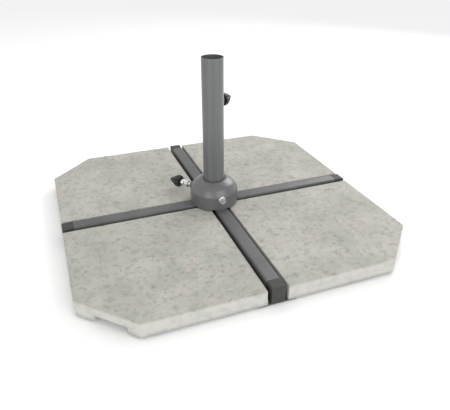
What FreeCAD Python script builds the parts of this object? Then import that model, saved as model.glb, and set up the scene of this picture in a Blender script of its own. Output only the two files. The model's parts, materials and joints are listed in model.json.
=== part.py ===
import FreeCAD, Part
import os
import re

import Sketcher

# A cross-shaped parasol base. Four box-section arms meet under a bell-shaped hub, four stone
# slabs lie between the arms, and a round stand tube turns in the hub. One knob clamps the tube
# in the hub, and a second one clamps the parasol's pole in the tube.
# Millimetres. +Z is up and the floor is z = 0. +X runs along the right arm, -Y along the front arm.

SIZES = [
    # word, value, meaning
    ("base_wide", 1000, "across two opposite arm ends"),
    ("lift", 7, "underside of slabs and arms above the floor"),
    ("slab_high", 45, "slab thickness"),
    ("slab_gap", 60, "between two neighbouring slabs"),
    ("slab_corner", 140, "leg of the clipped outer corner"),
    ("slab_round", 3, "rounding of the slab's top edges"),
    ("hub_cut", 66, "radius that the slab's inner corner is cut to"),
    ("grip_wide", 100, "hand recess, width"),
    ("grip_high", 20, "hand recess, height"),
    ("grip_deep", 45, "hand recess, depth"),
    ("grip_round", 12, "hand recess, upper corners"),
    ("grip_shift", 10, "hand recess, off the diagonal"),
    ("foot_radius", 14, "rubber foot of a slab"),
    ("foot_spread", 76, "feet beside the hand recess, off the diagonal"),
    ("foot_out", 588, "feet beside the hand recess, along the diagonal"),
    ("wing_spread", 262, "feet by the slab's side corners, off the diagonal"),
    ("wing_out", 403, "feet by the slab's side corners, along the diagonal"),
    ("arm_wide", 40, "box section, width"),
    ("arm_high", 50, "box section, height"),
    ("arm_wall", 2.5, "box section, wall"),
    ("arm_round", 5, "box section, outer corners"),
    ("stub_end", 155, "hub stub reaches this far from the axis"),
    ("seam", 0.3, "gap between a stub and its arm"),
    ("connector_start", 70, "connector, inner end"),
    ("connector_end", 235, "connector, outer end"),
    ("connector_slack", 0.3, "connector's play inside the box section"),
    ("connector_wall", 3, "connector, wall"),
    ("cap_long", 36, "end cap, visible length"),
    ("cap_plug", 25, "end cap, length inside the arm"),
    ("cap_slope", 4, "end cap, sloping top edge"),
    ("cap_wall", 3.5, "end cap, walls"),
    ("cap_screw_radius", 3, "end cap screw, shank"),
    ("cap_screw_long", 10, "end cap screw, shank length"),
    ("cap_screw_drop", 10, "end cap screw, below the arm's top"),
    ("cap_seat", 2, "end cap screw, depth of its seat"),
    ("strip_wide", 116, "support strip, width"),
    ("strip_thick", 4, "support strip and base plate, thickness"),
    ("strip_start", 111, "support strip, inner end"),
    ("strip_end", 498, "support strip, outer end"),
    ("plate_wide", 220, "base plate"),
    ("drain_radius", 8, "base plate, drain hole"),
    ("pad_radius", 16, "floor pad"),
    ("pad_out", 475, "floor pads, distance from the axis along the arm"),
    ("pad_side", 38, "floor pads, off the arm's middle"),
    ("plate_pad", 82, "floor pads under the base plate"),
    ("bolt_inner", 130, "arm bolt in the stub"),
    ("bolt_outer", 195, "arm bolt in the arm"),
    ("bolt_radius", 4, "arm bolt, shank"),
    ("bolt_play", 0.25, "arm bolt's play in its holes"),
    ("bolt_long", 19, "arm bolt, shank length"),
    ("bolt_head", 2.6, "arm bolt, head thickness"),
    ("nut_corner", 7.5, "arm nut, radius to a corner"),
    ("nut_high", 6.5, "arm nut, thickness"),
    ("thread_fit", 0.02, "radial gap where a thread is held fast"),
    ("socket_radius", 38.5, "socket tube, outside"),
    ("socket_wall", 3, "socket tube, wall"),
    ("socket_top", 130, "socket tube, upper end"),
    ("tube_radius", 34, "stand tube, outside"),
    ("tube_wall", 2, "stand tube, wall"),
    ("tube_foot", 14.5, "stand tube, lower end"),
    ("tube_top", 530, "stand tube, upper end"),
    ("tube_fit", 0.08, "running fit of the stand tube in its bushes"),
    ("bush_low", 15, "lower guide bush, lower end"),
    ("bush_long", 30, "guide bushes, length inside the socket tube"),
    ("collar_high", 3, "upper guide bush, collar"),
    ("plug_bore", 16, "bore of the tube's foot plug and of the thrust washer"),
    ("plug_high", 15, "foot plug, height inside the tube"),
    ("seat_step", 0.5, "the plug's seat, wider than the tube's bore by this on the radius"),
    ("washer_thick", 4.7, "thrust washer"),
    ("rest_gap", 0.3, "gap between faces of pieces that move apart"),
    ("hub_mouth", 36, "hub cover, radius of the mouth"),
    ("hub_neck", 44, "hub cover, radius of the neck"),
    ("hub_rim", 79, "hub cover, radius of the rim"),
    ("hub_top", 138, "hub cover, upper face"),
    ("rim_level", 102, "hub cover, top of the rim wall"),
    ("rim_round", 20, "hub cover, rounding above the rim wall"),
    ("hub_shoulder", 67, "hub cover, radius of the shoulder"),
    ("shoulder_level", 125, "hub cover, height of the shoulder"),
    ("shoulder_round", 30, "hub cover, rounding of the shoulder"),
    ("neck_round", 3, "hub cover, rounding of the neck"),
    ("hub_wall", 5, "hub cover, wall"),
    ("hub_bolt_level", 93, "hub bolts, height"),
    ("hub_bolt_radius", 6, "hub bolts, shank"),
    ("hub_head", 10.97, "hub bolts, radius to a corner of the head"),
    ("hub_head_high", 9, "hub bolts, head"),
    ("washer_high", 2.5, "hub bolts and lock nut, washers"),
    ("lug_long", 18, "hub lugs, length outside the socket tube"),
    ("lower_level", 86, "lower clamp, height of its axis"),
    ("lower_turn", 128, "lower clamp, direction in degrees from +X"),
    ("lower_boss", 92, "lower clamp, end of the boss on the hub"),
    ("lower_knob", 138, "lower clamp, base of the knob"),
    ("upper_level", 390, "upper clamp, height of its axis"),
    ("upper_turn", 33, "upper clamp, direction in degrees from +X"),
    ("upper_boss", 46, "upper clamp, end of the boss on the tube"),
    ("upper_knob", 47, "upper clamp, base of the knob"),
    ("boss_radius", 12, "clamp bosses"),
    ("stud_radius", 6, "clamp studs"),
    ("stud_fit", 0.05, "running fit of a stud in its thread"),
    ("stud_tip", 4, "clamp stud, radius of the tip"),
    ("press_radius", 8, "pressure pads"),
    ("press_long", 5, "pressure pads, length"),
    ("knob_radius", 20.5, "knobs, at the base"),
    ("knob_tip", 5.5, "knobs, at the outer end"),
    ("knob_long", 42, "knobs, length"),
    ("knob_recess", 13.5, "knobs, radius of the hollow base"),
    ("knob_floor", 8.5, "knobs, depth of the hollow base"),
    ("shoulder_start", 122, "lower stud, inner end of its shoulder"),
    ("shoulder_radius", 9.5, "lower stud, shoulder"),
    ("lock_gap", 12, "lock nut's washer, off the boss"),
    ("lock_high", 10, "lock nut"),
]
WORDS = {word for word, _, _ in SIZES}
ARMS = {"front": -90, "right": 0, "rear": 90, "left": 180}
BAYS = {"front_left": 135, "front_right": -135, "rear_right": -45, "rear_left": 45}
UP = FreeCAD.Vector(0, 0, 1)

doc = FreeCAD.newDocument("parasol_base")


def fill_sheet():
    """The driving dimensions, one row each: meaning, value."""
    made = doc.addObject("Spreadsheet::Sheet", "Sizes")
    for row, (word, value, meaning) in enumerate(SIZES, start=1):
        made.set(f"A{row}", meaning)
        made.set(f"B{row}", str(value))
        made.setAlias(f"B{row}", word)
    doc.recompute()
    return made


sheet = fill_sheet()


def size(text):
    """The value of an expression in the sheet's words."""
    return float(sheet.evalExpression(str(text)))


def linked(text):
    """The expression as another object has to write it, with each word led back to the sheet."""
    return re.sub(
        r"[a-z_]+", lambda found: f"Sizes.{found[0]}" if found[0] in WORDS else found[0], str(text)
    )


def bind(thing, settings):
    """Binds properties to expressions in the sheet's words."""
    for name, text in settings.items():
        thing.setExpression(name, linked(text))


# ---- sketches and features shared by the bodies ----


def body_named(name):
    body = doc.addObject("PartDesign::Body", name)
    body.Label = name
    return body


def sketch_on(body, plane, name, out="0", turn=0):
    """A sketch on one of the body's own origin planes, moved out along its normal, or turned
    about the vertical axis by some degrees."""
    sketch = body.newObject("Sketcher::SketchObject", name)
    support = next(f for f in body.Origin.OriginFeatures if f.Role == plane + "_Plane")
    sketch.AttachmentSupport = [(support, "")]
    sketch.MapMode = "FlatFace"
    sketch.AttachmentOffset = FreeCAD.Placement(
        FreeCAD.Vector(), FreeCAD.Rotation(FreeCAD.Vector(0, 1, 0), turn)
    )
    bind(sketch, {"AttachmentOffset.Base.z": out})
    return sketch


def draw_polygon(sketch, corners):
    """A closed outline. Each corner is held by two distances from the sketch's origin."""
    first = sketch.GeometryCount
    count = len(corners)
    places = [FreeCAD.Vector(size(x), size(y), 0) for x, y in corners]
    for n in range(count):
        sketch.addGeometry(Part.LineSegment(places[n], places[(n + 1) % count]), False)
    for n in range(count):
        after = first + (n + 1) % count
        sketch.addConstraint(Sketcher.Constraint("Coincident", first + n, 2, after, 1))
    for n, corner in enumerate(corners):
        for kind, text in zip(("DistanceX", "DistanceY"), corner):
            held = Sketcher.Constraint(kind, -1, 1, first + n, 1, size(text))
            number = sketch.addConstraint(held)
            bind(sketch, {f"Constraints[{number}]": text})


def draw_box(sketch, wide, low, high, shift="0"):
    """A rectangle centred on the sketch's vertical axis, or shifted off it."""
    left, right = f"{shift} - ({wide}) / 2", f"{shift} + ({wide}) / 2"
    draw_polygon(sketch, [(left, low), (right, low), (right, high), (left, high)])


def draw_circle(sketch, radius, x="0", y="0"):
    middle = FreeCAD.Vector(size(x), size(y), 0)
    number = sketch.addGeometry(Part.Circle(middle, UP, size(radius)), False)
    for kind, text in (("DistanceX", x), ("DistanceY", y)):
        held = Sketcher.Constraint(kind, -1, 1, number, 3, size(text))
        bind(sketch, {f"Constraints[{sketch.addConstraint(held)}]": text})
    held = Sketcher.Constraint("Radius", number, size(radius))
    bind(sketch, {f"Constraints[{sketch.addConstraint(held)}]": radius})


def add(body, kind, sketch, length=None, back=False, both=False):
    """One feature from a sketch. A cut that takes nothing away stops the script."""
    before = body.Shape.Volume if body.Tip else 0.0
    made = body.newObject("PartDesign::" + kind, kind.lower() + "_" + sketch.Name)
    made.Profile = sketch
    made.Reversed = back
    if kind in ("Pad", "Pocket"):
        if both:
            made.SideType = "Symmetric"
        if length is None:
            made.Type = "ThroughAll"
        else:
            bind(made, {"Length": length})
    else:
        made.ReferenceAxis = (sketch, ["V_Axis"])
        made.Angle = 360
    sketch.Visibility = False
    doc.recompute()
    if kind in ("Pocket", "Groove") and not body.Shape.Volume < before - 1e-3:
        raise RuntimeError(f"{made.Name} cuts nothing")
    return made


def soften(body, kind, amount, chosen):
    """A Fillet or Chamfer on the edges that the test picks from the body's tip."""
    tip = body.Tip
    edges = [f"Edge{n}" for n, edge in enumerate(tip.Shape.Edges, start=1) if chosen(edge)]
    if not edges:
        raise RuntimeError(f"{body.Name} has no such edges")
    made = body.newObject("PartDesign::" + kind, f"{kind.lower()}_{body.Name}_{len(edges)}")
    made.Base = (tip, edges)
    bind(made, {"Radius" if kind == "Fillet" else "Size": amount})
    doc.recompute()
    return made


def along(edge, axis):
    """True for a straight edge that runs along one axis: 0, 1 or 2."""
    box = edge.BoundBox
    spans = (box.XLength, box.YLength, box.ZLength)
    return sum(spans) - spans[axis] < 1e-6 < spans[axis]


def at_level(edge, text):
    """True for an edge that lies wholly at one height."""
    level = size(text)
    return abs(edge.BoundBox.ZMin - level) < 1e-6 and abs(edge.BoundBox.ZMax - level) < 1e-6


def turned(thing, degrees):
    thing.Placement = FreeCAD.Placement(FreeCAD.Vector(), FreeCAD.Rotation(UP, degrees))
    return thing


def aimed(thing, turn, level):
    """Lays the thing's own +Z outwards from the stand's axis, at a height and a direction."""
    swing = FreeCAD.Rotation(UP, turn) * FreeCAD.Rotation(FreeCAD.Vector(0, 1, 0), 90)
    thing.Placement = FreeCAD.Placement(FreeCAD.Vector(), swing)
    bind(thing, {"Placement.Base.z": level})
    return thing


def cylinder(name, radius, low, high, x="0", y="0"):
    made = doc.addObject("Part::Cylinder", name)
    places = {"Placement.Base.x": x, "Placement.Base.y": y, "Placement.Base.z": low}
    bind(made, {"Radius": radius, "Height": f"({high}) - ({low})", **places})
    return made


def hexagon(name, corner, low, high):
    made = doc.addObject("Part::Prism", name)
    made.Polygon = 6
    bind(made, {"Circumradius": corner, "Height": f"({high}) - ({low})", "Placement.Base.z": low})
    return made


def fused(name, pieces):
    made = doc.addObject("Part::MultiFuse", name)
    made.Shapes = pieces
    return made


def drilled(name, solid, hole):
    made = doc.addObject("Part::Cut", name)
    made.Base = solid
    made.Tool = hole
    return made


def group(name, pieces):
    """Like pieces that share one node, still separate solids."""
    made = doc.addObject("Part::Compound", name)
    made.Links = pieces
    made.Label = name
    return made


# ---- the frame ----


def base_plate():
    body = body_named("base_plate")
    sketch = sketch_on(body, "XY", "plate_outline", out="lift - strip_thick")
    draw_box(sketch, "plate_wide", "-plate_wide / 2", "plate_wide / 2")
    draw_circle(sketch, "drain_radius")
    add(body, "Pad", sketch, "strip_thick")
    soften(body, "Chamfer", "plate_wide / 10", lambda edge: along(edge, 2))
    return body


def box_tube(name, wide, low, high, wall, start, end, holes):
    """A length of box section along +X, with rounded corners and bolt holes in its lower wall."""
    body = body_named(name)
    sketch = sketch_on(body, "YZ", name + "_section", out=start)
    draw_box(sketch, wide, low, high)
    draw_box(sketch, f"{wide} - 2 * {wall}", f"{low} + {wall}", f"{high} - {wall}")
    add(body, "Pad", sketch, f"{end} - ({start})")
    half = size(wide) / 2
    soften(body, "Fillet", "arm_round", lambda e: along(e, 0) and abs(abs(e.BoundBox.YMin) - half) < 1e-6)
    if holes:
        sketch = sketch_on(body, "XY", name + "_bolt_holes", out=f"{low} + {wall} + 1")
        for x in holes:
            draw_circle(sketch, "bolt_radius + bolt_play", x)
        add(body, "Pocket", sketch, f"{wall} + 2")
    return body


def hub_stub(side):
    """A short box section welded to the socket tube, its inner end coped to the tube's radius."""
    low, high = "lift", "lift + arm_high"
    start = "socket_radius / 2"
    body = box_tube(f"hub_stub_{side}", "arm_wide", low, high, "arm_wall", start, "stub_end", ["bolt_inner"])
    sketch = sketch_on(body, "XY", f"stub_cope_{side}")
    draw_circle(sketch, "socket_radius + 0.05")
    add(body, "Pocket", sketch, "lift + arm_high + 1", back=True)
    return turned(body, ARMS[side])


def arm(side):
    low, high = "lift", "lift + arm_high"
    start, end = "stub_end + seam", "base_wide / 2 - cap_long"
    body = box_tube(f"arm_{side}", "arm_wide", low, high, "arm_wall", start, end, ["bolt_outer"])
    return turned(body, ARMS[side])


def arm_connector(side):
    """A box section that slides into the stub and the arm and is bolted to both."""
    inset = "(arm_wall + connector_slack)"
    wide = f"(arm_wide - 2 * {inset})"
    low, high = f"(lift + {inset})", f"(lift + arm_high - {inset})"
    holes = ["bolt_inner", "bolt_outer"]
    start, end = "connector_start", "connector_end"
    body = box_tube(f"arm_connector_{side}", wide, low, high, "connector_wall", start, end, holes)
    return turned(body, ARMS[side])


def arm_end_cap(side):
    """A moulded plug: its head continues the box section and slopes down at the outer end."""
    name = f"arm_end_cap_{side}"
    body = body_named(name)
    head, end = "(base_wide / 2 - cap_long + 0.05)", "(base_wide / 2)"
    top = "(lift + arm_high)"
    sketch = sketch_on(body, "XZ", name + "_side")
    corners = [
        (head, "lift"),
        (end, "lift"),
        (end, f"{top} - cap_slope"),
        (f"{end} - cap_slope", top),
        (head, top),
    ]
    draw_polygon(sketch, corners)
    add(body, "Pad", sketch, "arm_wide", both=True)
    half = size("arm_wide") / 2
    soften(body, "Fillet", "arm_round", lambda e: along(e, 0) and abs(abs(e.BoundBox.YMin) - half) < 1e-6)
    inset = "(arm_wall + 0.1)"
    sketch = sketch_on(body, "YZ", name + "_plug", out=f"{head} - cap_plug")
    low, high = f"lift + {inset}", f"{top} - {inset}"
    draw_box(sketch, f"arm_wide - 2 * {inset}", low, high)
    add(body, "Pad", sketch, "cap_plug + 1")
    sketch = sketch_on(body, "YZ", name + "_hollow", out=f"{head} - cap_plug")
    draw_box(sketch, f"arm_wide - 2 * {inset} - 2 * cap_wall", f"{low} + cap_wall", f"{high} - cap_wall")
    add(body, "Pocket", sketch, "cap_plug + cap_long - cap_wall", back=True)
    sketch = sketch_on(body, "YZ", name + "_screw_hole", out=f"{end} + 1")
    draw_circle(sketch, "cap_screw_radius + 0.1", "0", f"{top} - cap_screw_drop")
    add(body, "Pocket", sketch, "2 * cap_wall")
    sketch = sketch_on(body, "YZ", name + "_screw_seat", out=f"{end} + 1")
    draw_circle(sketch, "cap_screw_radius * 2", "0", f"{top} - cap_screw_drop")
    add(body, "Pocket", sketch, "cap_seat + 1")
    return turned(body, ARMS[side])


def end_cap_screws():
    """One pan-head screw in the face of each end cap."""
    pieces = []
    for side, turn in ARMS.items():
        low, high = "base_wide / 2 - cap_seat", "base_wide / 2 - 0.1"
        shank = cylinder(f"cap_screw_shank_{side}", "cap_screw_radius", f"{low} - cap_screw_long", low)
        head = cylinder(f"cap_screw_head_{side}", "cap_screw_radius * 1.8", low, high)
        screw = fused(f"cap_screw_{side}", [shank, head])
        pieces.append(aimed(screw, turn, "lift + arm_high - cap_screw_drop"))
    return group("end_cap_screws", pieces)


def support_strip(side):
    """Flat steel welded under an arm. The slabs' inner edges rest on it."""
    name = f"support_strip_{side}"
    body = body_named(name)
    sketch = sketch_on(body, "XY", name + "_outline", out="lift - strip_thick")
    half = "strip_wide / 2"
    corners = [
        ("strip_start", f"-{half}"),
        ("strip_end", f"-{half}"),
        ("strip_end", half),
        ("strip_start", half),
    ]
    draw_polygon(sketch, corners)
    for x in ("bolt_inner", "bolt_outer"):
        draw_circle(sketch, "bolt_radius + bolt_play", x)
    add(body, "Pad", sketch, "strip_thick")
    far = size("strip_end")
    soften(body, "Chamfer", "strip_thick", lambda e: along(e, 2) and abs(e.BoundBox.XMax - far) < 1e-6)
    return turned(body, ARMS[side])


def spots(places, build, name):
    """The same piece at several places in plan, as one node."""
    return group(name, [build(f"{name}_{n}", x, y) for n, (x, y) in enumerate(places, start=1)])


def on_arms(x, y="0"):
    """One place repeated on the four arms, as expressions."""
    return [(x, y), (f"-({y})", x), (f"-({x})", f"-({y})"), (y, f"-({x})")]


def floor_pads():
    def pad(name, x, y):
        return cylinder(name, "pad_radius", "0", "lift - strip_thick", x, y)

    places = on_arms("pad_out", "pad_side") + on_arms("pad_out", "-pad_side")
    places += on_arms("plate_pad", "plate_pad")
    return spots(places, pad, "floor_pads")


def arm_bolts():
    """Low-head bolts from below, through strip, box section and connector."""

    def bolt(name, x, y):
        under = "lift - strip_thick"
        shank = cylinder(name + "_shank", "bolt_radius", under, f"{under} + bolt_long", x, y)
        head = cylinder(name + "_head", "bolt_radius * 1.75", f"{under} - bolt_head", under, x, y)
        return fused(name, [shank, head])

    return spots(on_arms("bolt_inner") + on_arms("bolt_outer"), bolt, "arm_bolts")


def arm_nuts():
    """Hexagon nuts inside the connectors, one on each arm bolt."""
    low = "(lift + arm_wall + connector_slack + connector_wall)"

    def nut(name, x, y):
        outside = hexagon(name + "_outside", "nut_corner", low, f"{low} + nut_high")
        bind(outside, {"Placement.Base.x": x, "Placement.Base.y": y})
        hole = cylinder(name + "_thread", "bolt_radius + thread_fit", low, f"{low} + nut_high", x, y)
        return drilled(name, outside, hole)

    return spots(on_arms("bolt_inner") + on_arms("bolt_outer"), nut, "arm_nuts")


# ---- the hub ----


def round_tube(name, radius, wall, low, high):
    body = body_named(name)
    sketch = sketch_on(body, "XY", name + "_section", out=low)
    draw_circle(sketch, radius)
    draw_circle(sketch, f"{radius} - {wall}")
    add(body, "Pad", sketch, f"{high} - ({low})")
    return body


def drill_outwards(body, name, radius, level, turn, reach):
    """A hole from the vertical axis outwards, at a height and in a direction from +X."""
    sketch = sketch_on(body, "XZ", name, turn=turn + 90)
    draw_circle(sketch, radius, "0", level)
    add(body, "Pocket", sketch, reach, back=True)


def socket_tube():
    body = round_tube("socket_tube", "socket_radius", "socket_wall", "lift", "socket_top")
    turn = size("lower_turn")
    drill_outwards(body, "pad_hole", "press_radius + rest_gap", "lower_level", turn, "socket_radius + 5")
    return body


def guide_bush(name, low, high, collar=False):
    """A nylon ring between the socket tube and the stand tube, the upper one with a collar."""
    body = body_named(name)
    sketch = sketch_on(body, "XZ", name + "_profile")
    bore, outside = "tube_radius + tube_fit", "socket_radius - socket_wall - 0.05"
    corners = [(bore, low), (outside, low), (outside, high), (bore, high)]
    if collar:
        seat = "socket_top + thread_fit"
        corners[2:3] = [(outside, seat), ("socket_radius", seat), ("socket_radius", high)]
    draw_polygon(sketch, corners)
    add(body, "Revolution", sketch)
    return body


def hub_cover():
    """A cast bell: a neck round the tube, a flared shoulder, an upright rim wall and a boss for the
    lower clamp. It stands on the stubs."""
    body = body_named("hub_cover")
    foot = "(lift + arm_high + 0.1)"
    sketch = sketch_on(body, "XZ", "hub_outside")
    corners = [
        ("0", foot),
        ("hub_rim", foot),
        ("hub_rim", "rim_level"),
        ("hub_shoulder", "shoulder_level"),
        ("hub_neck", "hub_top"),
        ("0", "hub_top"),
    ]
    draw_polygon(sketch, corners)
    add(body, "Revolution", sketch)
    soften(body, "Fillet", "shoulder_round", lambda e: at_level(e, "shoulder_level"))
    soften(body, "Fillet", "rim_round", lambda e: at_level(e, "rim_level"))
    soften(body, "Fillet", "neck_round", lambda e: at_level(e, "hub_top"))
    turn = size("lower_turn")
    sketch = sketch_on(body, "XZ", "clamp_boss", turn=turn + 90)
    draw_circle(sketch, "boss_radius", "0", "lower_level")
    add(body, "Pad", sketch, "lower_boss")
    sketch = sketch_on(body, "XZ", "hub_inside")
    corners = [
        ("0", f"{foot} - 1"),
        ("hub_rim - hub_wall", f"{foot} - 1"),
        ("hub_rim - hub_wall", "rim_level - hub_wall / 2"),
        ("hub_shoulder - hub_wall", "shoulder_level - hub_wall * 0.6"),
        ("hub_neck - hub_wall", "socket_top + collar_high + rest_gap"),
        ("0", "socket_top + collar_high + rest_gap"),
    ]
    draw_polygon(sketch, corners)
    add(body, "Groove", sketch)
    sketch = sketch_on(body, "XY", "hub_mouth_hole", out="hub_top + 1")
    draw_circle(sketch, "hub_mouth")
    add(body, "Pocket", sketch, "hub_wall + 5")
    drill_outwards(body, "hub_thread", "stud_radius + stud_fit", "lower_level", turn, "lower_boss + 5")
    sketch = sketch_on(body, "XZ", "hub_bolt_holes")
    draw_circle(sketch, "hub_bolt_radius + bolt_play", "0", "hub_bolt_level")
    add(body, "Pocket", sketch, "3 * hub_rim", both=True)
    return body


def hub_lug(side):
    """A threaded lug welded to the socket tube, which takes a hub bolt."""
    name = f"hub_lug_{side}"
    body = body_named(name)
    sketch = sketch_on(body, "XZ", name + "_round", turn=90)
    draw_circle(sketch, "hub_head", "0", "hub_bolt_level")
    add(body, "Pad", sketch, "socket_radius + lug_long")
    sketch = sketch_on(body, "XY", name + "_cope")
    draw_circle(sketch, "socket_radius + 0.05")
    add(body, "Pocket", sketch, "hub_top", back=True)
    drill_outwards(body, name + "_thread", "hub_bolt_radius + thread_fit", "hub_bolt_level", 0, "hub_rim")
    return turned(body, ARMS[side])


def hub_bolts():
    """Zinc-plated hexagon bolts, front and rear, that hold the cover to the lugs."""
    seat = "hub_rim + washer_high"
    pieces = []
    for side in ("front", "rear"):
        shank = cylinder(f"hub_bolt_shank_{side}", "hub_bolt_radius", "socket_radius + lug_long / 4", seat)
        head = hexagon(f"hub_bolt_head_{side}", "hub_head", seat, f"{seat} + hub_head_high")
        bolt = fused(f"hub_bolt_{side}", [shank, head])
        pieces.append(aimed(bolt, ARMS[side], "hub_bolt_level"))
    return group("hub_bolts", pieces)


def washer(name, hole, radius, low, high):
    outside = cylinder(name + "_outside", radius, low, high)
    inside = cylinder(name + "_hole", hole, f"{low} - 1", f"{high} + 1")
    return drilled(name, outside, inside)


def hub_washers():
    pieces = []
    for side in ("front", "rear"):
        hole, low, high = "hub_bolt_radius + rest_gap", "hub_rim", "hub_rim + washer_high"
        ring = washer(f"hub_washer_{side}", hole, "hub_head + 1", low, high)
        pieces.append(aimed(ring, ARMS[side], "hub_bolt_level"))
    return group("hub_washers", pieces)


# ---- the slabs ----


def stone_slab(bay):
    """One slab, drawn with its diagonal along +Y: square, its outer corner clipped, its inner
    corner cut round the hub, and a hand recess under the clipped face."""
    name = f"slab_{bay}"
    body = body_named(name)
    half, gap, root = "base_wide / 2", "slab_gap / 2", "sqrt(2)"
    side, across = f"({half} - {gap}) / {root}", f"({half} + {gap}) / {root}"
    face = f"(base_wide - slab_corner) / {root}"
    corners = [
        ("0", f"{gap} * {root}"),
        (side, across),
        (f"slab_corner / {root}", face),
        (f"-slab_corner / {root}", face),
        (f"-{side}", across),
    ]
    under = "lift + rest_gap"
    sketch = sketch_on(body, "XY", name + "_outline", out=under)
    draw_polygon(sketch, corners)
    add(body, "Pad", sketch, "slab_high")
    sketch = sketch_on(body, "XY", name + "_hub_cut", out="lift - 1")
    draw_circle(sketch, "hub_cut")
    add(body, "Pocket", sketch, "slab_high + 2", back=True)
    soften(body, "Fillet", "slab_round", lambda e: along(e, 2))
    soften(body, "Fillet", "slab_round", lambda e: at_level(e, f"{under} + slab_high"))
    sketch = sketch_on(body, "XZ", name + "_grip", out=f"-{face} - 1")
    draw_box(sketch, "grip_wide", "lift - 1", "lift + grip_high", shift="-grip_shift")
    add(body, "Pocket", sketch, "grip_deep + 1", back=True)
    soften(body, "Fillet", "grip_round", lambda e: along(e, 1) and at_level(e, "lift + grip_high"))
    return turned(body, BAYS[bay])


def slab_feet(bay):
    """Four rubber feet under the outer part of a slab."""
    name = f"slab_feet_{bay}"
    places = [("foot_spread", "foot_out"), ("-foot_spread", "foot_out")]
    places += [("wing_spread", "wing_out"), ("-wing_spread", "wing_out")]

    def foot(label, x, y):
        return cylinder(label, "foot_radius", "0", "lift + rest_gap", x, y)

    return turned(spots(places, foot, name), BAYS[bay])


# ---- the stand ----


def thrust_washer():
    low, high = "lift + rest_gap", "lift + rest_gap + washer_thick"
    ring = washer("thrust_washer", "plug_bore", "socket_radius - socket_wall - rest_gap", low, high)
    ring.Label = "thrust_washer"
    return ring


def stand_tube():
    """A round tube, bored a little wider at its foot to seat the plug."""
    body = round_tube("stand_tube", "tube_radius", "tube_wall", "tube_foot", "tube_top")
    sketch = sketch_on(body, "XY", "plug_seat", out="tube_foot - 1")
    draw_circle(sketch, "tube_radius - tube_wall + seat_step")
    add(body, "Pocket", sketch, "plug_high + 2", back=True)
    turn = size("upper_turn")
    drill_outwards(body, "tube_pad_hole", "press_radius + rest_gap", "upper_level", turn, "tube_radius + 5")
    return body


def tube_foot_plug():
    """A nylon plug in the tube's lower end; its flange rides on the thrust washer."""
    body = body_named("tube_foot_plug")
    sketch = sketch_on(body, "XZ", "plug_profile")
    bottom, flange = "lift + 2 * rest_gap + washer_thick", "tube_foot - thread_fit"
    inside = "tube_radius - tube_wall + seat_step - 0.05"
    corners = [
        ("plug_bore", bottom),
        ("tube_radius", bottom),
        ("tube_radius", flange),
        (inside, flange),
        (inside, "tube_foot + plug_high"),
        ("tube_radius - 3 * tube_wall", "tube_foot + plug_high"),
        ("plug_bore", "tube_foot + tube_wall"),
    ]
    draw_polygon(sketch, corners)
    add(body, "Revolution", sketch)
    return body


def upper_clamp_boss():
    """A threaded boss welded to the stand tube, bored out to let the pressure pad pass."""
    body = body_named("upper_clamp_boss")
    turn, level = size("upper_turn"), "upper_level"
    sketch = sketch_on(body, "XZ", "upper_boss_round", turn=turn + 90)
    draw_circle(sketch, "boss_radius", "0", level)
    add(body, "Pad", sketch, "upper_boss")
    sketch = sketch_on(body, "XY", "upper_boss_cope")
    draw_circle(sketch, "tube_radius + 0.05")
    add(body, "Pocket", sketch, "tube_top", back=True)
    drill_outwards(body, "upper_thread", "stud_radius + stud_fit", level, turn, "upper_boss + 5")
    reach = "tube_radius - tube_wall + press_long + 0.5"
    drill_outwards(body, "upper_counterbore", "press_radius + rest_gap", level, turn, reach)
    return body


# ---- the clamps: each is drawn along +Z, outwards from the stand's axis ----


def clamp_knob(name, base):
    """A tapering knob with a hollow base and six flutes for the fingers."""
    body = body_named(name)
    sketch = sketch_on(body, "XZ", name + "_profile")
    hole = "stud_radius + thread_fit"
    corners = [
        (hole, f"{base} + knob_floor"),
        ("knob_recess", f"{base} + knob_floor"),
        ("knob_recess", base),
        ("knob_radius", base),
        ("knob_radius", f"{base} + knob_long / 3"),
        ("knob_tip", f"{base} + knob_long"),
        ("0", f"{base} + knob_long"),
        ("0", f"{base} + knob_long * 0.8"),
        (hole, f"{base} + knob_long * 0.8"),
    ]
    draw_polygon(sketch, corners)
    add(body, "Revolution", sketch)
    sketch = sketch_on(body, "XY", name + "_flute", out=f"{base} - 1")
    draw_circle(sketch, "knob_radius / 4", "knob_radius * 1.12")
    cut = add(body, "Pocket", sketch, "knob_long + 2", back=True)
    pattern = body.newObject("PartDesign::PolarPattern", name + "_flutes")
    pattern.Originals = [cut]
    pattern.Axis = (sketch, ["N_Axis"])
    pattern.Angle = 360
    pattern.Occurrences = 6
    body.Tip = pattern
    doc.recompute()
    return body


def clamp_stud(name, tip, knob_base, shoulder):
    """A threaded stud with a plain tip that sits in the pressure pad, and where it is asked for a
    shoulder that ends in the knob's hollow base."""
    neck = f"{tip} + stud_tip"
    pieces = [
        cylinder(name + "_thread", "stud_radius", neck, f"{knob_base} + knob_long * 0.75"),
        cylinder(name + "_point", "stud_tip", tip, neck),
    ]
    if shoulder:
        end = f"{knob_base} + knob_floor - thread_fit"
        pieces.append(cylinder(name + "_shoulder", "shoulder_radius", shoulder, end))
    made = fused(name, pieces)
    made.Label = name
    return made


def pressure_pad(name, face):
    """A nylon pad that presses on a tube, with a blind hole for the stud's tip."""
    outside = cylinder(name + "_outside", "press_radius", face, f"{face} + press_long")
    seat = f"{face} + press_long / 2"
    hole = cylinder(name + "_seat", "stud_tip + rest_gap", seat, f"{seat} + press_long")
    made = drilled(name, outside, hole)
    made.Label = name
    return made


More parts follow.
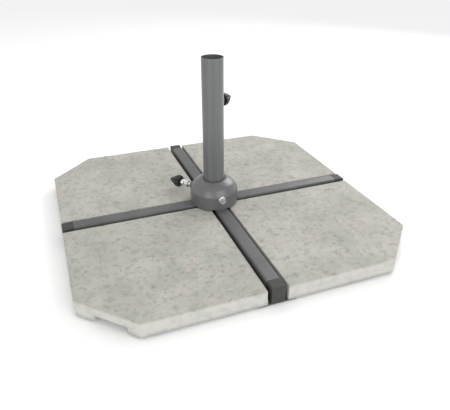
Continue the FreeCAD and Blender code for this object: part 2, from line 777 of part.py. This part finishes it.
def clamp(place, face, knob_base, shoulder=None):
    """Pad, stud and knob of one clamp, laid along its own axis."""
    turn, level = size(f"{place}_turn"), f"{place}_level"
    tip = f"{face} + press_long / 2 + rest_gap"
    pieces = [
        pressure_pad(f"{place}_pressure_pad", face),
        clamp_stud(f"{place}_clamp_stud", tip, knob_base, shoulder),
        clamp_knob(f"{place}_clamp_knob", knob_base),
    ]
    return [aimed(piece, turn, level) for piece in pieces]


def lower_locknut():
    """A hexagon nut on the lower stud that is run up to the boss to lock the setting."""
    low = "(lower_boss + lock_gap + washer_high + rest_gap)"
    nut = hexagon("locknut_outside", "hub_head", low, f"{low} + lock_high")
    hole = cylinder("locknut_thread", "stud_radius + stud_fit", low, f"{low} + lock_high")
    made = drilled("lower_clamp_nut", nut, hole)
    made.Label = "lower_clamp_nut"
    return aimed(made, size("lower_turn"), "lower_level")


def lower_lockwasher():
    low, high = "lower_boss + lock_gap", "lower_boss + lock_gap + washer_high"
    made = washer("lower_clamp_washer", "stud_radius + stud_fit", "hub_head + 2", low, high)
    made.Label = "lower_clamp_washer"
    return aimed(made, size("lower_turn"), "lower_level")


# ---- putting it together ----


def build():
    nodes = [base_plate(), end_cap_screws(), floor_pads(), arm_bolts(), arm_nuts(), socket_tube()]
    for side in ARMS:
        nodes += [hub_stub(side), arm(side), arm_connector(side), arm_end_cap(side), support_strip(side)]
    nodes.append(guide_bush("lower_bush", "bush_low", "bush_low + bush_long"))
    top = "socket_top + collar_high"
    nodes.append(guide_bush("upper_bush", "socket_top - bush_long", top, collar=True))
    nodes += [hub_cover(), hub_lug("front"), hub_lug("rear"), hub_bolts(), hub_washers()]
    for bay in BAYS:
        nodes += [stone_slab(bay), slab_feet(bay)]
    nodes += [thrust_washer(), stand_tube(), tube_foot_plug(), upper_clamp_boss()]
    nodes += clamp("lower", "tube_radius + rest_gap", "lower_knob", "shoulder_start")
    nodes += [lower_locknut(), lower_lockwasher()]
    nodes += clamp("upper", "tube_radius - tube_wall + 0.05", "upper_knob")
    return nodes


def check_and_write(nodes):
    doc.recompute()
    failed = [o.Name for o in doc.Objects if {"Invalid", "Error"} & set(o.State)]
    if failed:
        raise RuntimeError(f"failed: {failed}")
    for node in nodes:
        if node.Shape.isNull() or not node.Shape.isValid():
            raise RuntimeError(f"{node.Label} has no valid shape")
    os.makedirs("parts", exist_ok=True)
    for node in nodes:
        node.Shape.exportStep(f"parts/{node.Label}.step")
        box = node.Shape.BoundBox
        print(f"{node.Label}: {len(node.Shape.Solids)} solids, {node.Shape.Volume / 1000:.1f} cm3,"
              f" z {box.ZMin:.2f} to {box.ZMax:.2f}")


check_and_write(build())
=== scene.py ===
import json
import math

import bmesh
import bpy
from mathutils import Matrix, Vector, noise


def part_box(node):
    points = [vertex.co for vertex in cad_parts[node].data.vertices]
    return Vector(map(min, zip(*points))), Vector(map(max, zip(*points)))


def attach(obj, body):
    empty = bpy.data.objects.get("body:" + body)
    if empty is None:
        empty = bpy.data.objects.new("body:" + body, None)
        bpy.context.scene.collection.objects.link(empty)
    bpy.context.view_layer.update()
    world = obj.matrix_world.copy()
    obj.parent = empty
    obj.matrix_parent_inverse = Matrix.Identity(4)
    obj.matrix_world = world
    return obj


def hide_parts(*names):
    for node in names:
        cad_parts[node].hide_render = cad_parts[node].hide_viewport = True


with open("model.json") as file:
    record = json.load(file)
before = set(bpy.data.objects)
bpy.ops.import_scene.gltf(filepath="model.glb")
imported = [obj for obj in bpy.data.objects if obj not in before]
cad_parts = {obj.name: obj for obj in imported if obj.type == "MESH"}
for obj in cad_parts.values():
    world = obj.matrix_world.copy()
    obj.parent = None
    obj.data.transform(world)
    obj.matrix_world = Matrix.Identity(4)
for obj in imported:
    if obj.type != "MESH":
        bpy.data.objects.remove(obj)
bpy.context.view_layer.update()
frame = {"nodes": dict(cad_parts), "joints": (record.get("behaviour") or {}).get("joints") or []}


# ---- the room ----
# A pale studio floor, a bright even room and three large soft lamps: front right, rear right
# and low on the left. The camera looks down on the base from the front left.

scene = bpy.context.scene
scene.view_settings.view_transform = "Standard"

camera = bpy.data.objects.new("camera", bpy.data.cameras.new("camera"))
camera.location = (-0.4665, -1.342, 0.848)
camera.rotation_euler = (math.radians(60.11), 0, math.radians(-20.67))
camera.data.lens = 38.17
camera.data.sensor_width = 36
scene.collection.objects.link(camera)
scene.camera = camera

room = bpy.data.worlds.new("room")
room.use_nodes = True
room.node_tree.nodes["Background"].inputs["Color"].default_value = (1, 1, 1, 1)
room.node_tree.nodes["Background"].inputs["Strength"].default_value = 0.9
scene.world = room


def soft_lamp(name, place, wide, watts):
    """A square lamp that faces the middle of the base."""
    light = bpy.data.lights.new(name, "AREA")
    light.size = wide
    light.energy = watts
    lamp = bpy.data.objects.new(name, light)
    lamp.location = place
    lamp.rotation_euler = (-Vector(place)).to_track_quat("-Z", "Y").to_euler()
    scene.collection.objects.link(lamp)


soft_lamp("front_lamp", (1.1, -3.4, 1.5), 2.6, 40)
soft_lamp("rear_lamp", (2.2, 1.5, 1.9), 1.8, 46)
soft_lamp("left_lamp", (-2.6, -2.6, 0.8), 1.8, 34)


# ---- the steel frame ----
# Box-section arms, stubs, flat strips, base plate and socket tube: mild steel, welded and
# powder-coated mid grey. The coat has a fine orange-peel skin and is a little thin on edges.


class Shade:
    """One socket of the finish being made. Arithmetic on it adds Math nodes."""

    tree = None

    def __init__(self, socket):
        self.socket = socket

    @classmethod
    def node(cls, kind, settings, sockets, out=0):
        """Any shader node: its settings first, then the values or links of its sockets."""
        made = cls.tree.nodes.new("ShaderNode" + kind)
        for name, value in settings.items():
            setattr(made, name, value)
        for name, value in sockets.items():
            if isinstance(value, Shade):
                cls.tree.links.new(value.socket, made.inputs[name])
            else:
                made.inputs[name].default_value = value
        return cls(made.outputs[out])

    def math(self, operation, first, second):
        return self.node("Math", {"operation": operation}, {0: first, 1: second})

    def __add__(self, other):
        return self.math("ADD", self, other)

    def __sub__(self, other):
        return self.math("SUBTRACT", self, other)

    def __rsub__(self, other):
        return self.math("SUBTRACT", other, self)

    def __mul__(self, other):
        return self.math("MULTIPLY", self, other)

    __radd__ = __add__
    __rmul__ = __mul__

    def between(self, low, high):
        """0 below low, 1 above high."""
        sockets = {"Value": self, "From Min": low, "From Max": high}
        return self.node("MapRange", {}, sockets)

    def tint(self, plain, changed):
        """The plain colour where this is 0 and the changed one where it is 1."""
        first, second = (c if isinstance(c, Shade) else (*c, 1) for c in (plain, changed))
        return self.node("Mix", {"data_type": "RGBA"}, {0: self, 6: first, 7: second}, out=2)


def grain(size, detail=2, rough=0.5, shift=(0, 0, 0)):
    """Soft random cloud, with lumps of about this size in metres."""
    place = Shade.node("TexCoord", {}, {}, out="Object")
    moved = Shade.node("VectorMath", {"operation": "ADD"}, {0: place, 1: shift})
    sockets = {"Vector": moved, "Scale": 1 / size, "Detail": detail, "Roughness": rough}
    return Shade.node("TexNoise", {}, sockets)


def bumps(height, depth, strength):
    """A Bump node for a height between 0 and 1 and a relief in metres."""
    return Shade.node("Bump", {}, {"Height": height, "Distance": depth, "Strength": strength})


def finish(name, fixed, varied):
    """A material: fixed holds what is the same all over, varied what changes over the surface."""
    material = bpy.data.materials.new(name)
    material.use_nodes = True
    Shade.tree = material.node_tree
    surface = Shade.tree.nodes["Principled BSDF"]
    for socket, value in fixed.items():
        surface.inputs[socket].default_value = value
    for socket, make in varied().items():
        Shade.tree.links.new(make.socket, surface.inputs[socket])
    return material


def paint(material, *names):
    """Gives CAD nodes a finish. A name that ends in _ stands for all nodes that start with it."""
    for name, node in frame["nodes"].items():
        if name in names or any(n.endswith("_") and name.startswith(n) for n in names):
            node.data.materials.clear()
            node.data.materials.append(material)


def coat():
    peel = grain(0.0016, 3)
    cloud = grain(0.09, 4, 0.6)
    dust = grain(0.012, 5, 0.7).between(0.52, 0.75)
    colour = cloud.between(0.35, 0.65).tint((0.070, 0.071, 0.071), (0.094, 0.095, 0.094))
    return {
        "Base Color": (0.3 * dust).tint(colour, (0.22, 0.22, 0.21)),
        "Roughness": 0.36 + 0.12 * cloud + 0.1 * dust,
        "Normal": bumps(peel, 0.00012, 0.5),
    }


grey_coat = finish("grey_powder_coat", {"Metallic": 0.0, "IOR": 1.5}, coat)
paint(grey_coat, "base_plate", "socket_tube", "hub_stub_", "arm_", "support_strip_", "hub_lug_")


# ---- connectors, bolts and nuts under the arms ----
# Zinc-plated steel, with the faint cloudy bands of the plating bath and fine handling marks.


def zinc_plate():
    cloud = grain(0.006, 4, 0.6)
    marks = grain(0.0012, 4, 0.7)
    return {
        "Base Color": cloud.between(0.35, 0.7).tint((0.66, 0.67, 0.68), (0.80, 0.80, 0.78)),
        "Roughness": 0.24 + 0.16 * cloud + 0.08 * marks,
        "Normal": bumps(marks, 0.00006, 0.4),
    }


zinc = finish("zinc_plate", {"Metallic": 1.0}, zinc_plate)
paint(zinc, "arm_connector_", "arm_bolts", "arm_nuts", "hub_washers")


# ---- arm end caps ----
# Moulded plastic plugs pressed into the arms, dark grey, with a fine spark-eroded grain.


def moulded_grain():
    skin = grain(0.0009, 2)
    cloud = grain(0.03, 3)
    return {
        "Base Color": cloud.between(0.3, 0.7).tint((0.030, 0.031, 0.028), (0.044, 0.045, 0.041)),
        "Roughness": 0.5 + 0.15 * skin,
        "Normal": bumps(skin, 0.00015, 0.6),
    }


cap_plastic = finish("dark_grey_moulding", {"Specular IOR Level": 0.4}, moulded_grain)
paint(cap_plastic, "arm_end_cap_")


# ---- end cap screws ----
# One countersunk screw in each cap, zinc-plated and then blackened, with scuffs on the head.


def black_zinc():
    scuff = grain(0.0015, 4, 0.7)
    return {
        "Base Color": scuff.between(0.5, 0.75).tint((0.055, 0.055, 0.055), (0.16, 0.16, 0.155)),
        "Roughness": 0.38 + 0.2 * scuff,
        "Normal": bumps(scuff, 0.00005, 0.4),
    }


paint(finish("black_zinc", {"Metallic": 0.7}, black_zinc), "end_cap_screws")


# ---- floor pads and slab feet ----
# Punched rubber discs, black and matt, greyed by dust.


def rubber_skin():
    skin = grain(0.0015, 4, 0.6)
    dust = grain(0.02, 4).between(0.5, 0.7)
    return {
        "Base Color": (0.4 * dust).tint((0.018, 0.018, 0.018), (0.09, 0.088, 0.082)),
        "Roughness": 0.75 + 0.15 * skin,
        "Normal": bumps(skin, 0.0001, 0.6),
    }


paint(finish("black_rubber", {}, rubber_skin), "floor_pads", "slab_feet_")


# ---- bushes, washer, plug and pressure pads ----
# Turned black nylon with the fine rings that the tool leaves.


def turned_nylon():
    skin = grain(0.0007, 3)
    return {
        "Base Color": skin.between(0.3, 0.8).tint((0.022, 0.022, 0.023), (0.04, 0.04, 0.04)),
        "Roughness": 0.38 + 0.15 * skin,
        "Normal": bumps(skin, 0.00005, 0.5),
    }


nylon = finish("black_nylon", {}, turned_nylon)
paint(nylon, "lower_bush", "upper_bush", "thrust_washer", "tube_foot_plug")
paint(nylon, "lower_pressure_pad", "upper_pressure_pad")


# ---- hub cover ----
# One casting: a bell with a neck, a rounded shoulder and a boss for the clamp stud. Shot-blasted
# and powder-coated, so its skin is rougher and more uneven than the drawn steel's.


def cast_coat():
    sand = grain(0.0028, 4, 0.6)
    cloud = grain(0.05, 4, 0.6)
    colour = cloud.between(0.35, 0.65).tint((0.092, 0.092, 0.096), (0.116, 0.116, 0.120))
    return {
        "Base Color": colour,
        "Roughness": 0.24 + 0.14 * sand,
        "Normal": bumps(sand, 0.00035, 0.5),
    }


paint(finish("cast_powder_coat", {"IOR": 1.6}, cast_coat), "hub_cover")


# ---- stone slabs ----
# Granite with a flamed top and paler sawn sides, each about 25 kg: grey-beige, in greenish and
# pinkish patches, with small dark pits. One corner is clipped, with a hand recess below it, and
# the inner corner is cut round the hub. They lie loose between the arms.


def piece(mesh, name, material, body, stands_for):
    """Turns a finished bmesh into a piece that rides on a body and stands for CAD nodes."""
    bmesh.ops.recalc_face_normals(mesh, faces=mesh.faces)
    data = bpy.data.meshes.new(name)
    mesh.to_mesh(data)
    mesh.free()
    made = bpy.data.objects.new(name, data)
    scene.collection.objects.link(made)
    data.materials.append(material)
    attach(made, body)
    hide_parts(*stands_for)
    return made


def granite_for(shift):
    """The stone's finish, its pattern moved by shift so that no two slabs are alike."""
    side_height, top_height = 0.0455, 0.0522

    def granite():
        broad = grain(0.11, 3, 0.6, shift)
        warm = grain(0.06, 4, 0.6, (shift[0] + 3, shift[1], 0))
        smear = grain(0.024, 4, 0.6, (shift[0], shift[1] + 5, 0))
        crystal = grain(0.0035, 3, 0.7, shift)
        pits = grain(0.015, 3, 0.65, (shift[0], 7, shift[1])).between(0.55, 0.68)
        base = broad.between(0.35, 0.65).tint((0.345, 0.348, 0.306), (0.442, 0.437, 0.396))
        tinted = (0.6 * warm.between(0.48, 0.66)).tint(base, (0.446, 0.396, 0.362))
        cool = (0.6 * smear.between(0.50, 0.68)).tint(tinted, (0.262, 0.274, 0.243))
        flecked = (0.35 * crystal.between(0.5, 0.75)).tint(cool, (0.66, 0.65, 0.62))
        flamed = (0.5 * pits).tint(flecked, (0.180, 0.178, 0.158))
        place = Shade.node("TexCoord", {}, {}, out="Object")
        height = Shade.node("SeparateXYZ", {}, {"Vector": place}, out="Z")
        sawn = (0.6 * smear.between(0.45, 0.68)).tint((0.475, 0.468, 0.440), (0.36, 0.365, 0.34))
        worked = height.between(side_height, top_height).tint(sawn, flamed)
        relief = 0.6 * smear + 0.3 * crystal - 0.4 * pits
        return {
            "Base Color": worked,
            "Roughness": 0.78 + 0.15 * crystal,
            "Normal": bumps(relief, 0.0016, 0.5),
        }

    return granite


CLIP = Vector((0.43, 0.43))
OUTWARD, ALONG = Vector((1, 1)).normalized(), Vector((1, -1)).normalized()


def stone_slab(turn):
    """One slab, made in the quarter between +X and +Y and then turned into its bay."""
    near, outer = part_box("slab_rear_right")
    inner, under, far, top = near.x, near.z, outer.x, outer.z
    recess_top, recess_deep = 0.027, 0.045
    mouth_right, mouth_left = 0.04, -0.06
    clip_start, hub_reach = 0.36, 0.0588
    ceiling_round, edge_round = 0.012, 0.0035
    chip_deep, sound_bottom, tiny = 0.0011, 0.001, 1e-6
    mesh = bmesh.new()

    def corner(place):
        return mesh.verts.new((place[0], place[1], recess_top))

    arc_start = corner((inner, hub_reach))
    sweep = math.atan2(inner, hub_reach) - math.atan2(hub_reach, inner)
    bmesh.ops.spin(
        mesh, geom=[arc_start], cent=(0, 0, 0), axis=(0, 0, 1), angle=sweep, steps=10,
        dvec=(0, 0, 0),
    )
    outline = list(mesh.verts)
    right_end, left_end = CLIP + ALONG * mouth_right, CLIP + ALONG * mouth_left
    depth = OUTWARD * recess_deep
    right_out, right_in = corner(right_end), corner(right_end - depth)
    left_in, left_out = corner(left_end - depth), corner(left_end)
    outline += [corner((far, inner)), corner((far, clip_start))]
    outline += [right_out, right_in, left_in, left_out]
    outline += [corner((clip_start, far)), corner((inner, far))]
    slab_face = mesh.faces.new(outline)
    recess_face = mesh.faces.new([right_out, left_out, left_in, right_in])
    long_edges = [e for e in mesh.edges if e.calc_length() > 0.15]
    bmesh.ops.subdivide_edges(mesh, edges=long_edges, cuts=14)
    raised = bmesh.ops.extrude_face_region(
        mesh, geom=[slab_face, recess_face], use_keep_orig=True
    )
    lifted = [v for v in raised["geom"] if isinstance(v, bmesh.types.BMVert)]
    bmesh.ops.translate(mesh, vec=(0, 0, top - recess_top), verts=lifted)
    lowered = bmesh.ops.extrude_face_region(mesh, geom=[slab_face])
    sunk = [v for v in lowered["geom"] if isinstance(v, bmesh.types.BMVert)]
    bmesh.ops.translate(mesh, vec=(0, 0, under - recess_top), verts=sunk)
    bmesh.ops.recalc_face_normals(mesh, faces=mesh.faces)

    def runs_in(edge):
        """True for an edge of the recess's ceiling that runs in from the clip."""
        first, second = (v.co for v in edge.verts)
        level = abs((first.z + second.z) / 2 - recess_top) < tiny
        return level and abs((first - second).xy.normalized() @ OUTWARD) > 0.99

    def on_rim(edge):
        """True for an outer edge round the top, or for an upright one."""
        first, second = (v.co.z for v in edge.verts)
        return min(first, second) > top - tiny or abs(first - second) > 0.02

    ceiling = [
        e for e in mesh.edges
        if runs_in(e) and len(e.link_faces) == 2 and e.calc_face_angle() > 1
    ]
    bmesh.ops.bevel(
        mesh, geom=ceiling, offset=ceiling_round, segments=5, affect="EDGES", profile=0.5,
        material=-1,
    )
    rim = [
        e for e in mesh.edges
        if len(e.link_faces) == 2 and e.calc_face_angle() > 0.5 and on_rim(e) and e.is_convex
    ]
    bmesh.ops.bevel(
        mesh, geom=rim, offset=edge_round, segments=4, affect="EDGES", profile=0.55, material=-1
    )
    mesh.normal_update()
    for vert in mesh.verts:
        if vert.co.z > under + sound_bottom:
            coarse = noise.noise(vert.co * 45 + Vector((turn, 0, 0)))
            chipped = max(coarse + 0.6 * noise.noise(vert.co * 160), 0)
            vert.co -= vert.normal * chip_deep * chipped
    for face in mesh.faces:
        face.smooth = face.calc_area() < 0.01
    quarter_turn = Matrix.Rotation(turn, 3, "Z")
    bmesh.ops.rotate(mesh, cent=(0, 0, 0), matrix=quarter_turn, verts=mesh.verts)
    return mesh


for quarter, bay in enumerate(("rear_right", "rear_left", "front_left", "front_right")):
    pattern = granite_for((2.3 * quarter, 1.7 * quarter, 0))
    granite = finish(f"granite_{bay}", {"Specular IOR Level": 0.3}, pattern)
    slab = stone_slab(quarter * math.pi / 2)
    piece(slab, f"stone_{bay}", granite, f"ballast_{bay}", [f"slab_{bay}"])


# ---- stand tube ----
# A 68 mm steel tube with its clamp boss, powder-coated like the frame but smoother, since the
# tube is drawn. Long soft lighter and darker streaks along its length are painted reflection bands
# in the colour, and the gloss varies along them too.


def reflection_streaked_coat():
    place = Shade.node("TexCoord", {}, {}, out="Object")
    drawn = Shade.node("Mapping", {}, {"Vector": place, "Scale": (1, 1, 0.05)})
    # Streaks stretched along the tube: the lighter ones in the colour are painted reflections, and
    # the roughness follows them.
    gloss_and_reflection_streak = Shade.node("TexNoise", {}, {"Vector": drawn, "Scale": 32, "Detail": 2})
    peel = grain(0.0016, 3)
    return {
        "Base Color": gloss_and_reflection_streak.between(0.35, 0.7).tint((0.104, 0.108, 0.110), (0.127, 0.130, 0.132)),
        "Roughness": 0.2 + 0.12 * gloss_and_reflection_streak,
        "Normal": bumps(peel, 0.00010, 0.4),
    }


paint(finish("powder_coat_with_painted_reflections", {"IOR": 1.5}, reflection_streaked_coat), "stand_tube", "upper_clamp_boss")


# ---- clamp knobs ----
# Moulded black plastic, hollow at the base, with six finger flutes that run out towards a small
# rounded tip. Satin, a little shinier where hands polish the lobes.


def aimed(joint_name):
    """The matrix that lays +Z outwards along a clamp's own axis, from the record's joint."""
    joint = next(j for j in frame["joints"] if j["name"] == joint_name)
    turn = math.atan2(joint["axis"][1], joint["axis"][0])
    lift = Matrix.Translation((0, 0, joint["pos_m"][2]))
    return lift @ Matrix.Rotation(turn, 4, "Z") @ Matrix.Rotation(math.pi / 2, 4, "Y")


def turned_piece(profile, steps=96):
    """A closed shape spun about +Z from a profile of (radius, height)."""
    mesh = bmesh.new()
    verts = [mesh.verts.new((radius, 0, height)) for radius, height in profile]
    edges = [mesh.edges.new((a, b)) for a, b in zip(verts, verts[1:])]
    bmesh.ops.spin(
        mesh, geom=verts + edges, cent=(0, 0, 0), axis=(0, 0, 1), angle=math.tau, steps=steps,
        use_merge=True, dvec=(0, 0, 0),
    )
    bmesh.ops.remove_doubles(mesh, verts=mesh.verts, dist=1e-6)
    for face in mesh.faces:
        face.smooth = True
    return mesh


def knob_black():
    wear = grain(0.009, 3)
    skin = grain(0.0008, 2)
    return {
        "Base Color": wear.between(0.3, 0.8).tint((0.010, 0.010, 0.010), (0.022, 0.022, 0.021)),
        "Roughness": 0.34 + 0.2 * wear,
        "Normal": bumps(skin, 0.00006, 0.5),
    }


knob_plastic = finish("black_knob_moulding", {}, knob_black)


def knob(base):
    """A knob along +Z from its base. The flutes are cut by drawing the skin in, six times."""
    wide, tip, long = 0.0205, 0.0055, 0.042
    stud_hole, recess, recess_deep, lip = 0.0062, 0.0135, 0.0085, 0.0143
    lobes, flute_deep, flute_start, flute_fade = 6, 0.0042, 0.0145, 0.004
    shoulder, end = base + long / 3, base + long
    grip_start, taper_start, taper_wide = base + 0.0014, shoulder + 0.0014, wide - 0.001
    profile = [
        (stud_hole, base + recess_deep), (recess, base + recess_deep),
        (recess, base + 0.0008), (lip, base),
        (wide - 0.0012, base), (wide - 0.0003, base + 0.0004), (wide, grip_start),
    ]
    grip_long, grip_rings = shoulder - base - 0.004, 6
    profile += [
        (wide, grip_start + grip_long * n / grip_rings) for n in range(1, grip_rings + 1)
    ]
    profile += [(wide - 0.0002, shoulder - 0.0008), (taper_wide, taper_start)]
    taper_long, narrowing, taper_rings = end - shoulder - 0.0028, taper_wide - tip, 14
    profile += [
        (taper_wide - narrowing * n / taper_rings, taper_start + taper_long * n / taper_rings)
        for n in range(1, taper_rings + 1)
    ]
    profile += [(tip - 0.0006, end - 0.0005), (tip - 0.0018, end), (0, end)]
    mesh = turned_piece(profile, 144)
    for vert in mesh.verts:
        radius = vert.co.xy.length
        if radius > flute_start:
            wave = math.cos(lobes * math.atan2(vert.co.y, vert.co.x))
            fade = min((radius - flute_start) / flute_fade, 1)
            flute = flute_deep * max(wave, 0) ** 2 * fade
            vert.co.xy *= (radius - flute) / radius
    return mesh


for level, base in (("lower", 0.138), ("upper", 0.047)):
    lobed = knob(base)
    bmesh.ops.transform(lobed, matrix=aimed(f"{level}_knob_turn"), verts=lobed.verts)
    stands_for = [f"{level}_clamp_knob"]
    piece(
        lobed, f"{level}_knob", knob_plastic, f"{level}_clamp", stands_for
    )


# ---- clamp studs ----
# M12 threaded steel, zinc-plated, with a plain tip in the pressure pad. The lower stud has a
# shoulder that ends in its knob.


def stud(tip, end, shoulder):
    """The rod is spun, and a thread with the M12 pitch is spun round it as a screw."""
    point, root, crest, collar = 0.004, 0.0052, 0.0059, 0.0095
    pitch, steps = 0.00175, 32
    thread_end = shoulder or end
    profile = [(0, tip), (0.0036, tip), (point, tip + 0.0004), (point, tip + 0.004)]
    profile += [(root, tip + 0.0045), (root, thread_end)]
    if shoulder:
        profile += [(0.0088, shoulder), (collar, shoulder + 0.0007), (collar, end)]
    profile += [(0, end)]
    rod = turned_piece(profile)
    thread_start = tip + 0.0048
    turns = int((thread_end - thread_start) / pitch) - 1
    ridge = [(root, 0), (crest, 0.0007), (crest, 0.00105), (root, pitch)]
    thread = bmesh.new()
    verts = [thread.verts.new((radius, 0, thread_start + height)) for radius, height in ridge]
    edges = [thread.edges.new((a, b)) for a, b in zip(verts, verts[1:])]
    bmesh.ops.spin(
        thread, geom=verts + edges, cent=(0, 0, 0), axis=(0, 0, 1), angle=math.tau * turns,
        steps=steps * turns, dvec=(0, 0, pitch / steps),
    )
    bmesh.ops.remove_doubles(thread, verts=thread.verts, dist=1e-6)
    for face in thread.faces:
        face.smooth = True
    bmesh.ops.recalc_face_normals(thread, faces=thread.faces)
    join(rod, thread)
    return rod


def join(mesh, added):
    """Puts a second bmesh into the first one and frees it."""
    held = bpy.data.meshes.new("held")
    added.to_mesh(held)
    added.free()
    mesh.from_mesh(held)
    bpy.data.meshes.remove(held)


for level, tip, end, shoulder in (
    ("lower", 0.0371, 0.1464, 0.122), ("upper", 0.0349, 0.0780, None),
):
    rod = stud(tip, end, shoulder)
    bmesh.ops.transform(rod, matrix=aimed(f"{level}_knob_turn"), verts=rod.verts)
    stands_for = [f"{level}_clamp_stud"]
    piece(rod, f"{level}_stud", zinc, f"{level}_clamp", stands_for)


# ---- lock nut, washer and hub bolts ----
# Zinc-plated hexagons with turned chamfers: a lock nut and washer on the lower stud, and a bolt
# at the front and the rear that holds the hub cover to its lugs.


def hexagon(corner, low, high, both_ends):
    """A hexagon along +Z whose corners are turned off at the outer end, or at both."""
    tiny, chamfer_slope = 1e-6, 0.6
    mesh = bmesh.new()
    bmesh.ops.create_cone(
        mesh, segments=6, radius1=corner, radius2=corner, depth=high - low, cap_ends=True,
        matrix=Matrix.Translation((0, 0, (low + high) / 2)),
    )
    flat_edges = [e for e in mesh.edges if abs(e.verts[0].co.z - e.verts[1].co.z) < tiny]
    bmesh.ops.subdivide_edges(mesh, edges=flat_edges, cuts=7)
    flat = corner * math.cos(math.pi / 6)
    for end, inward in ((high, -1), (low, 1)) if both_ends else ((high, -1),):
        for vert in mesh.verts:
            if abs(vert.co.z - end) < tiny:
                vert.co.z += inward * chamfer_slope * (vert.co.xy.length - flat)
    return mesh


def ring(hole, radius, low, high, edge):
    """A flat washer with eased edges."""
    profile = [
        (hole, low + edge), (hole + edge, low), (radius - edge, low), (radius, low + edge),
        (radius, high - edge), (radius - edge, high), (hole + edge, high), (hole, high - edge),
        (hole, low + edge),
    ]
    return turned_piece(profile, 64)


HEX_CORNER = 0.01097
lock_nut = hexagon(HEX_CORNER, 0.1068, 0.1168, True)
bmesh.ops.transform(lock_nut, matrix=aimed("lower_knob_turn"), verts=lock_nut.verts)
stands_for = ["lower_clamp_nut"]
piece(lock_nut, "lock_nut", zinc, "lower_clamp", stands_for)

lock_washer = ring(0.00605, 0.01297, 0.104, 0.1065, 0.0004)
bmesh.ops.transform(lock_washer, matrix=aimed("lower_knob_turn"), verts=lock_washer.verts)
stands_for = ["lower_clamp_washer"]
piece(lock_washer, "lock_washer", zinc, "lower_clamp", stands_for)

low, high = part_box("hub_bolts")
bolt_level = (low.z + high.z) / 2
shank_radius, shank_start, head_start, head_end = 0.006, 0.0435, 0.0815, 0.0905
both = bmesh.new()
for side in (-90, 90):
    head = hexagon(HEX_CORNER, head_start, head_end, False)
    shank = turned_piece(
        [(0, shank_start), (shank_radius, shank_start), (shank_radius, head_start),
         (0, head_start)], 48
    )
    swing = Matrix.Rotation(math.radians(side), 4, "Z") @ Matrix.Rotation(math.pi / 2, 4, "Y")
    fixed = Matrix.Translation((0, 0, bolt_level)) @ swing
    for part in (head, shank):
        bmesh.ops.transform(part, matrix=fixed, verts=part.verts)
        join(both, part)
piece(both, "hub_bolt_pair", zinc, "frame", ["hub_bolts"])


# ---- floor ----
# A plain pale studio floor, not part of the base.

ground = bmesh.new()
bmesh.ops.create_grid(ground, x_segments=1, y_segments=1, size=40)
ground_data = bpy.data.meshes.new("floor")
ground.to_mesh(ground_data)
ground.free()
floor = bpy.data.objects.new("floor", ground_data)
scene.collection.objects.link(floor)
floor.data.materials.append(
    finish("pale_floor", {"Base Color": (0.97, 0.97, 0.97, 1), "Roughness": 0.9}, dict)
)
